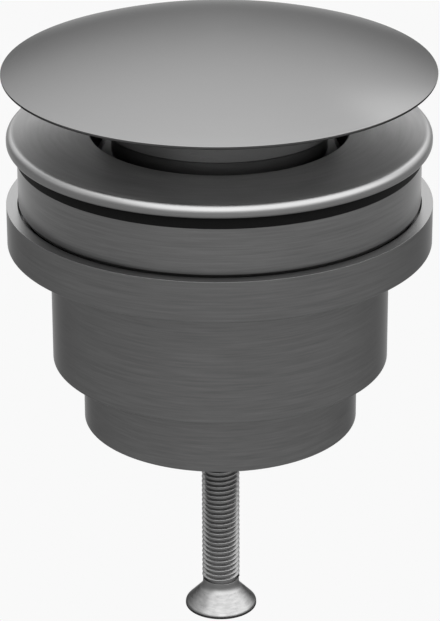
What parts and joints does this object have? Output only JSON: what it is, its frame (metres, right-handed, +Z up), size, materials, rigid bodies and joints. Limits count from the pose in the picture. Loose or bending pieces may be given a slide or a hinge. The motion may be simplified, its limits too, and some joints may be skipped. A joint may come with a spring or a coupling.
{
  "type": "free-flow basin waste",
  "caption": "Free-flow basin waste: a domed cap over an open mouth, a rounded flange with a rubber gasket, and a stepped lower body with outlet, pulled up by a long clamp screw.",
  "frame": {"origin": "centre of the outlet's lower face, on the axis of the waste", "axes": "+Z up along the axis of the waste, -Y towards the front, square to the hub's two legs"},
  "size_m": [0.0646, 0.0646, 0.0959],
  "materials": {
    "cap_metal": "stainless steel, brushed in rings, coated gunmetal grey",
    "hub_metal": "stainless steel, turned, coated gunmetal grey",
    "flange_metal": "stainless steel, brushed in rings, coated gunmetal grey",
    "collar_metal": "stainless steel, brushed round, coated gunmetal grey",
    "body_metal": "stainless steel, brushed round, coated gunmetal grey",
    "bridge_steel": "stainless steel, bare",
    "screw_steel": "stainless steel, bare and bright",
    "rubber": "black rubber, matt"
  },
  "bodies": {
    "lower": {"lower_body": "body_metal", "screw_bridge": "bridge_steel", "collar": "collar_metal", "foot_seal": "rubber", "underside_seal": "rubber"},
    "upper": {"upper_flange": "flange_metal", "rim_gasket": "rubber", "hub": "hub_metal", "cap_stud": "screw_steel", "cap": "cap_metal"},
    "screw": {"clamp_screw": "screw_steel"}
  },
  "joints": [
    {"name": "clamp_slide", "type": "slide", "parent": "lower", "child": "upper", "axis": [0, 0, 1], "range_m": [0, 0.015]},
    {"name": "screw_travel", "type": "slide", "parent": "upper", "child": "screw", "axis": [0, 0, 1], "range_m": [-0.0015, 0.019]}
  ]
}
